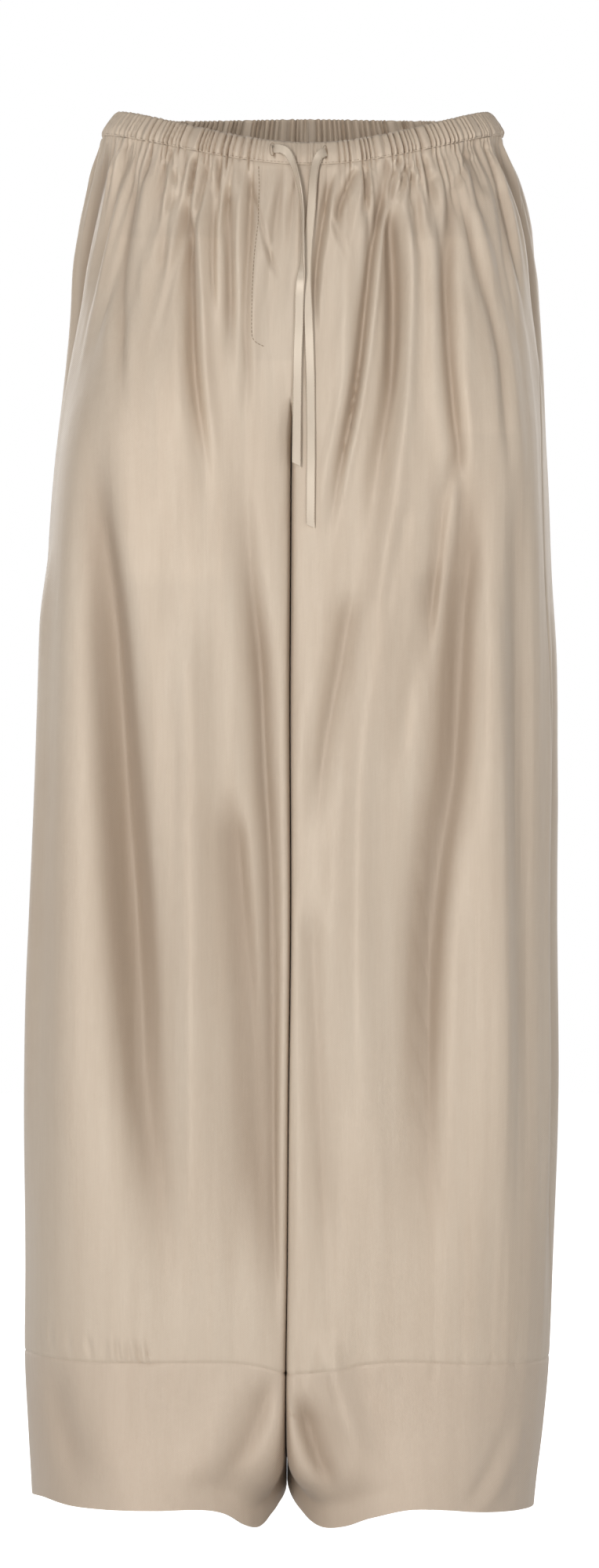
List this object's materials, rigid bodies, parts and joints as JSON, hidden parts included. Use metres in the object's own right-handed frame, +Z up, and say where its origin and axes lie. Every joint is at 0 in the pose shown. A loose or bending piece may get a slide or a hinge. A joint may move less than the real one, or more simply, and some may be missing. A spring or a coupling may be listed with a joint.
{
  "type": "wide-leg trousers",
  "caption": "Wide-leg pull-on trousers in satin twill, with a gathered drawstring waist and deep hems, shaped as worn.",
  "frame": {"origin": "centre of the waist opening, where the wearer's hips hold the garment up", "axes": "+Z up, -Y the front of the garment, +X towards the wearer's left"},
  "size_m": [0.389, 0.2514, 1.0361],
  "materials": {
    "twill": "champagne satin-faced twill, soft sheen",
    "hem": "the same twill, turned up double",
    "ribbon": "flat satin ribbon with stitched edges"
  },
  "bodies": {
    "root": {"front_right": "twill", "front_left": "twill", "back_right": "twill", "back_left": "twill", "hem_front_right": "hem", "hem_front_left": "hem", "hem_back_right": "hem", "hem_back_left": "hem", "waistband_right": "twill", "waistband_left": "twill", "waistband_front": "twill", "drawstring_right": "ribbon", "drawstring_left": "ribbon"}
  },
  "joints": []
}
